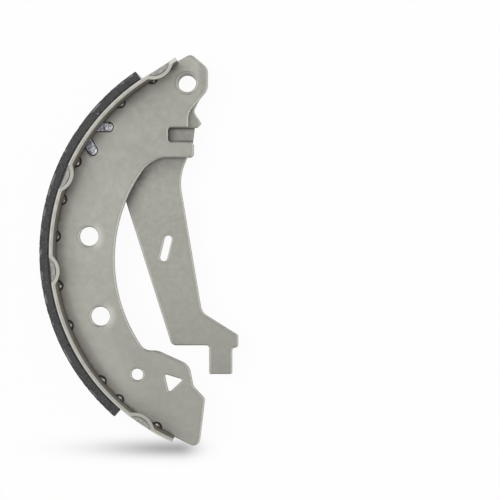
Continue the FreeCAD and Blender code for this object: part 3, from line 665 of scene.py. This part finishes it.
def paint_node(node, material):
    """Give a node of the frame its material, and keep its large faces flat to the light."""
    thing = frame["nodes"][node]
    thing.data.materials.clear()
    thing.data.materials.append(material)
    split = thing.modifiers.new("sharp_edges", "EDGE_SPLIT")
    split.split_angle = math.radians(30)
    flat = thing.modifiers.new("flat_faces", "WEIGHTED_NORMAL")
    flat.weight = 100
    flat.keep_sharp = True


def polar(radius, angle, height):
    """A place about the drum's axis."""
    turn = math.radians(angle)
    return AXIS.x + radius * math.cos(turn), AXIS.y + radius * math.sin(turn), height


def smooth(share):
    share = min(1.0, max(0.0, share))
    return share * share * (3 - 2 * share)


def grid_faces(lines, steps):
    """Faces between neighbouring lines of points, each line with one point more than its steps."""
    faces = []
    for line in range(lines):
        for step in range(steps):
            first = line * (steps + 1) + step
            faces.append((first, first + 1, first + steps + 2, first + steps + 1))
    return faces


def tube_faces(rings, around):
    """Faces between neighbouring closed rings of points."""
    faces = []
    for ring in range(rings):
        for number in range(around):
            first, second = ring * around + number, ring * around + (number + 1) % around
            faces.append((first, second, second + around, first + around))
    return faces


def facing_way(faces, way):
    """Turn the faces over for the front of the shoe, where way is one."""
    return [corners if way < 0 else corners[::-1] for corners in faces]


def join_patches(patches):
    """Put patches of vertices, faces and material numbers into one mesh's lists."""
    vertices, faces, numbers = [], [], []
    for more, patch, kinds in patches:
        start = len(vertices)
        vertices += more
        faces += [tuple(corner + start for corner in corners) for corners in patch]
        numbers += kinds
    return vertices, faces, numbers


def new_object(name, data):
    """An object in the scene that shows the data."""
    thing = bpy.data.objects.new(name, data)
    bpy.context.scene.collection.objects.link(thing)
    return thing


def new_mesh(name, vertices, faces, numbers, materials):
    """A smooth mesh with a material number for each face."""
    mesh = bpy.data.meshes.new(name)
    mesh.from_pydata(vertices, [], faces)
    mesh.update()
    for material in materials:
        mesh.materials.append(material)
    for face, number in zip(mesh.polygons, numbers):
        face.material_index = number
        face.use_smooth = True
    return mesh


def join_corners(mesh, fill):
    """Join the corners that meet, and fill each open rim with a sharp-edged face if asked to."""
    knit = bmesh.new()
    knit.from_mesh(mesh)
    bmesh.ops.remove_doubles(knit, verts=knit.verts, dist=SAME_PLACE)
    if fill:
        rims = [edge for edge in knit.edges if edge.is_boundary]
        for face in bmesh.ops.holes_fill(knit, edges=rims, sides=0)["faces"]:
            for edge in face.edges:
                edge.smooth = False
    knit.to_mesh(mesh)
    knit.free()


def add_piece(name, mesh, replaced=None, skin=0.0):
    """Make a mesh a piece of the shoe, with a skin's thickness behind it where one is given."""
    piece = new_object(name, mesh)
    if skin:
        backing = piece.modifiers.new("backing", "SOLIDIFY")
        backing.thickness = skin
        backing.offset = -1
    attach(piece, "shoe")
    if replaced:
        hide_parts(replaced)


def nugget_height(edge, wander):
    """Height of a nugget's skin: up to its crest, and from there down into its core."""
    climb = smooth(edge / NUGGET_CREST)
    if edge < NUGGET_CREST:
        height = NUGGET_RISE * climb
    else:
        sunk = smooth((edge - NUGGET_CREST) / (NUGGET_CORE - NUGGET_CREST))
        height = NUGGET_RISE * (1 - NUGGET_HOLLOW * sunk)
    return height + NUGGET_ROUGH * wander * climb


def nugget_number(spot, glint):
    """The material at a spot on a nugget: 0 the burnt ring, 1 the core, 2 its glint, a painted highlight."""
    edge, along, out = spot
    if edge < NUGGET_CORE * NUGGET_BURNT:
        return 0
    glint_along, glint_out, glint_size = glint
    away = math.hypot((along - glint_along) / 0.2, (out - glint_out) / 0.16)
    return 2 if away < 1.0 + glint_size else 1


def nugget_patch(angle, face, way, seed):
    """A weld nugget: a burnt ring with a flat side on the rim's wall, round a hollow core."""
    draw = random.Random(seed)
    half = NUGGET_HALF * draw.uniform(0.92, 1.06)
    reach = NUGGET_REACH * draw.uniform(0.9, 1.06)
    glint = (draw.uniform(-0.2, 0.35), draw.uniform(0.5, 0.66), draw.uniform(0.35, 0.6))
    vertices, spots = [], []
    for ring in range(NUGGET_RINGS + 1):
        share = ring / NUGGET_RINGS
        for spoke in range(NUGGET_SPOKES + 1):
            turn = math.pi * spoke / NUGGET_SPOKES
            along = half * share * math.cos(turn)
            out = reach * share * math.sin(turn)
            wander = noise.noise(Vector((along * 700, out * 700, seed)))
            edge = min((1 - share) * reach * (1 + 0.25 * wander), out * 0.8 + 0.0001)
            height = nugget_height(edge, wander) - NUGGET_SINK
            vertices.append(polar(RIM_BORE + NUGGET_BITE - out, angle + math.degrees(along / RIM_BORE),
                                  face + way * height))
            spots.append((edge, along / half, out / reach))
    faces = grid_faces(NUGGET_RINGS, NUGGET_SPOKES)
    numbers = [nugget_number(spots[corners[3]], glint) for corners in faces]
    return vertices, facing_way(faces, way), numbers


def make_nuggets(name, node, face, way, materials):
    """All the weld nuggets along one face of the web, as one piece."""
    patches = [nugget_patch(angle, face, way, NUGGET_SEED + number) for number, angle in enumerate(NUGGETS)]
    mesh = new_mesh(name, *join_patches(patches), materials)
    join_corners(mesh, fill=True)
    add_piece(name, mesh, node)


def capsule_outline(length, count):
    """Points round a capsule that runs along x: how far along its middle, and their outward ways."""
    points = []
    quarter = count // 4
    for step in range(quarter * 2):
        turn = math.pi / 2 + math.pi * step / (quarter * 2)
        points.append((0.0, math.cos(turn), math.sin(turn)))
    for step in range(quarter):
        points.append((length * step / quarter, 0.0, -1.0))
    for step in range(quarter):
        points.append((length * (1 - step / quarter), 0.0, 1.0))
    return points


def crown_height(share, along, across, crease):
    """Height of a tab's head over the web: two lobes with a crease between, lower at the root."""
    if share > 1:
        return GAP_RISE
    inside = 1 - share
    dent = math.exp(-((along - crease + 0.15 * across) / CREASE_WIDTH) ** 2)
    lobe = 1 - 0.75 * dent * smooth(inside * 3)
    dome = CROWN_DOME * math.sqrt(1 - share ** 4) * lobe
    lump = CROWN_LUMP * noise.noise(Vector((along * 900, across * 900, 7.0))) * smooth(inside * 4)
    root = 1 - 0.55 * smooth((along - crease) / CROWN_ROOT)
    return CROWN_EDGE + (dome + lump) * root


def inside_bore(place):
    """Pull a place back to just inside the rim's bore."""
    from_axis = Vector((place.x - AXIS.x, place.y - AXIS.y, 0))
    limit = RIM_BORE - BORE_CLEARANCE
    if from_axis.length > limit:
        from_axis = from_axis.normalized() * limit
        place.x, place.y = AXIS.x + from_axis.x, AXIS.y + from_axis.y
    return place


def make_tab_crown(name, radius, angle, half, length, heading, crease, materials):
    """The hammered head of a clinched tab, in two lobes, with a painted highlight on its lower right and a
    dark ring of painted shade in the gap round it.
    """
    centre = Vector(polar(radius, angle, 0.0))
    turn = math.radians(heading)
    ahead, aside = Vector((math.cos(turn), math.sin(turn), 0)), Vector((-math.sin(turn), math.cos(turn), 0))
    shares = [*GAP_SHARES] + [CROWN_SHARE * (1 - step / CROWN_RINGS) for step in range(CROWN_RINGS + 1)]
    vertices, spots = [], []
    for share in shares:
        for start, out_x, out_y in capsule_outline(length, CROWN_AROUND):
            along, across = start + out_x * half * share, out_y * half * share
            place = centre + ahead * along + aside * across
            place.z = WEB_FRONT + crown_height(share, along, across, crease)
            inside_bore(place)
            vertices.append(place)
            # Painted highlight: a crescent on the head's lower right.
            lit = place.x - centre.x - place.y + centre.y > 0.55 * half
            spots.append(lit and 0.55 < share < 0.93 and along < 0.0006)
    faces = tube_faces(len(shares) - 1, CROWN_AROUND)
    numbers = [2 if corners[0] < CROWN_AROUND else 1 if spots[corners[3]] else 0 for corners in faces]
    mesh = new_mesh(name, vertices, faces, numbers, materials)
    join_corners(mesh, fill=True)
    add_piece(name, mesh)


def pocket_frame(angle):
    """A nib pocket's way from its own sideways and outward reach to a place, and if its rim is straight."""
    straight = angle < RIM_BEND
    facing = math.radians(max(angle, RIM_BEND))
    slide = RIM_RADIUS * math.tan(math.radians(RIM_BEND - angle)) if straight else 0.0
    outward = Vector((math.cos(facing), math.sin(facing), 0))
    sideways = Vector((math.sin(facing), -math.cos(facing), 0))

    def place(side, reach, height):
        spot = Vector((AXIS.x, AXIS.y, 0)) + outward * reach + sideways * (side + slide)
        return spot.x, spot.y, height

    return place, straight


def pocket_number(row):
    """The material in a row of a pocket: 1 the dark line, 0 the floor, 2 the outer face."""
    if row < 2:
        return 1
    return 0 if row < POCKET_DOWN / 2 else 2


def pocket_patch(angle, face, way):
    """The pressed floor of one nib pocket, and the outer face that it falls to."""
    place, straight = pocket_frame(angle)
    ball = (POCKET_HALF ** 2 + POCKET_DEPTH ** 2) / (2 * POCKET_DEPTH)
    lift = RIM_RADIUS - POCKET_DEPTH + ball
    vertices = []
    for column in range(POCKET_ACROSS + 1):
        side = POCKET_HALF * POCKET_FILL * (2 * column / POCKET_ACROSS - 1)
        outer = (RIM_RADIUS if straight else math.sqrt(RIM_RADIUS ** 2 - side ** 2)) - POCKET_INSET
        inner = min(lift - math.sqrt(ball ** 2 - side ** 2) - POCKET_TUCK, outer - POCKET_LEAST)
        width = outer - inner
        start = POCKET_LIP + POCKET_FALL * width
        stop = POCKET_LIP + math.sqrt(max(0.0, ball ** 2 - (lift - outer) ** 2 - side ** 2))
        for row in range(POCKET_DOWN + 1):
            step = 2 * row / POCKET_DOWN
            if step <= 1:
                reach = inner + width * step
                lump = POCKET_LUMP * noise.noise(Vector((side * 700, reach * 700, angle)))
                ease = smooth(step * 4) * smooth((1 - step) * 4)
                sunk = POCKET_LIP + POCKET_FALL * width * step + lump * ease
            else:
                reach = outer - POCKET_DISH * width * math.sin(math.pi * (step - 1))
                sunk = start + (max(stop, start) - start) * (step - 1)
            vertices.append(place(side, reach, face - way * sunk))
    faces = grid_faces(POCKET_ACROSS, POCKET_DOWN)
    numbers = [pocket_number(corners[0] % (POCKET_DOWN + 1)) for corners in faces]
    return vertices, facing_way(faces, way), numbers


def make_pocket_floors(name, face, way, materials):
    """The pressed floors of the nib pockets along one edge of the rim."""
    patches = [pocket_patch(angle, face, way) for angle in POCKETS]
    mesh = new_mesh(name, *join_patches(patches), materials)
    join_corners(mesh, fill=False)
    add_piece(name, mesh, skin=POCKET_SKIN)


def straight_run(start, stop, count):
    """Points along a straight side, without its end."""
    shares = [step / count for step in range(count)]
    return [(start[0] + (stop[0] - start[0]) * share, start[1] + (stop[1] - start[1]) * share)
            for share in shares]


def corner_run(centre, radius, start, count):
    """Points round a quarter circle, without its end."""
    angles = [math.radians(start + 90 * step / count) for step in range(count)]
    return [(centre[0] + radius * math.cos(angle), centre[1] + radius * math.sin(angle))
            for angle in angles]


def section_ring(low, high):
    """Points round the lining's section, as radius and height."""
    inner, outer = BOND_RADIUS + INNER_WEAR, LINING_RADIUS - EDGE_WEAR
    points = straight_run((inner, low), (outer, low), SIDE_STEPS)
    points += corner_run((outer, low + EDGE_WEAR), EDGE_WEAR, -90, OUTER_EDGE_STEPS)
    points += straight_run((LINING_RADIUS, low + EDGE_WEAR), (LINING_RADIUS, high - EDGE_WEAR), FACE_STEPS)
    points += corner_run((outer, high - EDGE_WEAR), EDGE_WEAR, 0, OUTER_EDGE_STEPS)
    points += straight_run((outer, high), (inner, high), SIDE_STEPS)
    points += corner_run((inner, high - INNER_WEAR), INNER_WEAR, 90, INNER_EDGE_STEPS)
    points += straight_run((BOND_RADIUS, high - INNER_WEAR), (BOND_RADIUS, low + INNER_WEAR), BACK_STEPS)
    return points + corner_run((inner, low + INNER_WEAR), INNER_WEAR, 180, INNER_EDGE_STEPS)


def edge_chips():
    """Chips broken out of the lining's outer edges: angle, if in the front, half length and depth."""
    draw = random.Random(CHIP_SEED)
    chips = []
    for _ in range(CHIP_COUNT):
        chips.append((draw.uniform(LINING_START, LINING_END), draw.choice((0, 1, 1)),
                      draw.uniform(*CHIP_HALF), draw.uniform(*CHIP_DEPTH)))
    return chips


def chips_at(chips, angle):
    """The chips that cross an angle: if each is in the front, and how deep it is there."""
    crossing = []
    for chip_angle, in_front, half, deep in chips:
        apart = abs(math.radians(angle - chip_angle)) * LINING_RADIUS / half
        if apart < 1:
            crossing.append((in_front, deep * (1 - apart ** 2)))
    return crossing


def worn_place(radius, turn, height, low, high, bevel, chips):
    """A place on the lining's skin, moved in by its worn end, its chips and its grain."""
    chipped = 0.0
    for in_front, deep in chips:
        from_edge = (high - height) if in_front else (height - low)
        chipped = max(chipped, deep - math.hypot(LINING_RADIUS - radius, from_edge))
    place = Vector((math.cos(turn), math.sin(turn), 0)) * radius
    place.z = height
    worn = chipped + sum(depth * (1 + noise.noise(place * scale)) for depth, scale in SKIN_GRAINS)
    outer_share = (radius - BOND_RADIUS) / (LINING_RADIUS - BOND_RADIUS)
    reach = radius - (bevel + worn) * outer_share
    beside = min(high - height, height - low) < SIDE_BAND
    sideways = math.copysign(worn if beside else 0.0, (high + low) / 2 - height)
    return AXIS.x + reach * math.cos(turn), AXIS.y + reach * math.sin(turn), height + sideways


def make_lining_block(cut_end):
    """The lining with worn edges, small chips and a ground, slightly uneven face."""
    low, high = (corner.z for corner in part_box("lining"))
    ring = section_ring(low, high)
    around = len(ring)
    chips = edge_chips()
    arc = math.radians(LINING_END - LINING_START)
    vertices = []
    for step in range(LINING_STEPS + 1):
        share = step / LINING_STEPS
        angle = LINING_START + (LINING_END - LINING_START) * share
        bevel = max(0.0, END_WEAR - min(share, 1 - share) * arc * LINING_RADIUS)
        near = chips_at(chips, angle)
        for radius, height in ring:
            vertices.append(worn_place(radius, math.radians(angle), height, low, high, bevel, near))
    faces = [(first, last, third, second) for first, second, third, last in tube_faces(LINING_STEPS, around)]
    numbers = [0] * len(faces) + [1, 1]
    faces.append(tuple(range(around)))
    faces.append(tuple(LINING_STEPS * around + number for number in reversed(range(around))))
    mesh = new_mesh("lining_block", vertices, faces, numbers, [make_friction(), cut_end])
    for face in mesh.polygons[-2:]:
        face.use_smooth = False
    add_piece("lining_block", mesh, "lining")


def make_end_cut(cut_end):
    """The pale slanted cut at the lining's upper end, from its outer corner down to the rim."""
    low, high = (corner.z + way * CUT_MARGIN for corner, way in zip(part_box("lining"), (1, -1)))
    root = BOND_RADIUS - CUT_ROOT
    vertices = []
    for step in range(CUT_STEPS + 1):
        height = low + (high - low) * step / CUT_STEPS
        vertices.append(polar(LINING_RADIUS - CUT_TOP, LINING_START, height))
        vertices.append(polar(root, LINING_START, height))
        worn = CUT_WEAR * noise.noise(Vector((root * 500, height * 500, LINING_START)))
        vertices.append(polar(root, LINING_START - math.degrees((CUT_RUN + worn) / root), height))
    last = CUT_STEPS * 3
    faces = tube_faces(CUT_STEPS, 3) + [(2, 1, 0), (last, last + 1, last + 2)]
    mesh = new_mesh("upper_end_cut", vertices, faces, [0] * len(faces), [cut_end])
    join_corners(mesh, fill=True)
    for face in mesh.polygons:
        face.use_smooth = False
    add_piece("upper_end_cut", mesh)


def floor_tone(shader):
    """White, but for a painted soft shadow below the shoe's foot."""
    x, y, _ = shader.parts(shader.moved((*SHADOW_PLACE, 0)))
    left = shader.math("DIVIDE", shader.math("MINIMUM", x, 0.0), SHADOW_LEFT)
    right = shader.math("DIVIDE", shader.math("MAXIMUM", x, 0.0), SHADOW_RIGHT)
    across = shader.math("ADD", left, right)
    along = shader.math("DIVIDE", y, SHADOW_HALF)
    squares = shader.math("ADD", shader.times(across, across), shader.times(along, along))
    share = shader.math("EXPONENT", shader.times(squares, -1.0))
    return shader.mix(shader.times(share, SHADOW_DEPTH), WHITE, SHADE)


def make_floor():
    """A wide pale floor that reads as white to the camera, with a faint real shadow and a painted soft
    shadow below the foot.
    """
    corners = [(x * FLOOR_HALF, y * FLOOR_HALF, 0) for x, y in ((-1, -1), (1, -1), (1, 1), (-1, 1))]
    mesh = bpy.data.meshes.new("floor")
    mesh.from_pydata(corners, [], [(0, 1, 2, 3)])
    floor = new_object("floor", mesh)
    floor.location.z = -FLOOR_DROP
    shader = Shader("floor")
    mesh.materials.append(shader.finish(FLOOR, 0.9, specular=0.1))
    glow = shader.nodes.new("ShaderNodeEmission")
    shader.feed(glow.inputs["Color"], floor_tone(shader))
    path = shader.nodes.new("ShaderNodeLightPath").outputs
    mirrored = shader.math("MAXIMUM", path["Is Glossy Ray"], path["Is Transmission Ray"])
    seen = shader.math("MAXIMUM", path["Is Camera Ray"], mirrored)
    blend = shader.nodes.new("ShaderNodeMixShader")
    shader.feed(blend.inputs[0], shader.times(seen, 0.94))
    shader.feed(blend.inputs[1], shader.surface.outputs[0])
    shader.feed(blend.inputs[2], glow.outputs[0])
    shader.feed(shader.nodes["Material Output"].inputs["Surface"], blend.outputs[0])


def make_world(level):
    """Even light from all round, with a white backdrop behind the floor."""
    world = bpy.data.worlds.new("studio")
    bpy.context.scene.world = world
    world.use_nodes = True
    nodes, links = world.node_tree.nodes, world.node_tree.links
    light, white = nodes["Background"], nodes.new("ShaderNodeBackground")
    for background, strength in ((light, level), (white, 1.0)):
        background.inputs["Color"].default_value = (*WHITE, 1)
        background.inputs["Strength"].default_value = strength
    path = nodes.new("ShaderNodeLightPath")
    blend = nodes.new("ShaderNodeMixShader")
    links.new(path.outputs["Is Camera Ray"], blend.inputs[0])
    links.new(light.outputs[0], blend.inputs[1])
    links.new(white.outputs[0], blend.inputs[2])
    links.new(blend.outputs[0], nodes["World Output"].inputs["Surface"])


def make_softbox(name, place, size, share):
    """A square lamp aimed at the shoe that gives its middle a share of the plain level."""
    away = Vector(place) - Vector(SOFTBOX_AIM)
    lamp = bpy.data.lights.new(name, "AREA")
    lamp.shape = "RECTANGLE"
    lamp.size, lamp.size_y = size
    slant = away.normalized().z
    lamp.energy = share * math.pi ** 2 * away.length_squared / slant
    softbox = new_object(name, lamp)
    softbox.location = place
    softbox.rotation_euler = away.to_track_quat("Z", "Y").to_euler()
    softbox.visible_camera = False


def make_camera():
    lens = bpy.data.cameras.new("camera")
    lens.sensor_width = CAMERA_SENSOR
    lens.lens = CAMERA_LENS
    camera = new_object("camera", lens)
    camera.location = CAMERA_PLACE
    bpy.context.scene.camera = camera


rim_paint, bush_paint, zinc = make_rim_paint(), make_bush_paint(), make_zinc()
burnt = make_plain("burnt_weld", WELD, 2.0, 0.55)
for node, material in (("web", make_web_paint()), ("rim", rim_paint), ("adhesive_film", make_bond()),
                       ("parking_lever", make_lever_paint()), ("pivot_bush", bush_paint),
                       ("spring_washer", bush_paint), ("upper_tab", zinc), ("lower_tab", zinc),
                       ("front_welds", burnt), ("back_welds", burnt)):
    paint_node(node, material)

core = make_plain("weld_core", WELD_CORE, 0.6, 0.45)
# A light material for the painted highlight in each nugget's core.
weld_highlight = make_plain("weld_painted_highlight", WELD_HIGHLIGHT, 0.75, 0.3, 0.4)
make_nuggets("front_nuggets", "front_welds", WEB_FRONT, 1, [burnt, core, weld_highlight])
make_nuggets("back_nuggets", "back_welds", WEB_BACK, -1, [burnt, core, weld_highlight])
# A dark ring of painted shade in the gap round each tab's head.
gap = make_plain("tab_gap_shade", TAB_GAP_SHADE, 1.8, 0.7)
# Bright zinc for the painted highlight on the tabs' heads.
glint = make_plain("zinc_painted_highlight", ZINC_HIGHLIGHT, 0.8, 0.3, 0.5)
for side, *shape in TABS:
    make_tab_crown(side + "_tab_crown", *shape, [zinc, glint, gap])
pocket_paints = [make_pocket_paint(), make_plain("pocket_line", POCKET_LINE, 0.7, 0.6), rim_paint]
make_pocket_floors("front_pocket_floors", FRONT, 1, pocket_paints)
make_pocket_floors("back_pocket_floors", BACK, -1, pocket_paints)
cut_end = make_plain("cut_end", CUT_END, 0.7, 0.7)
make_lining_block(cut_end)
make_end_cut(cut_end)

make_floor()
make_world(WORLD_LEVEL)
for softbox in SOFTBOXES:
    make_softbox(*softbox)
make_camera()

settings = bpy.context.scene.view_settings
settings.view_transform = "Standard"
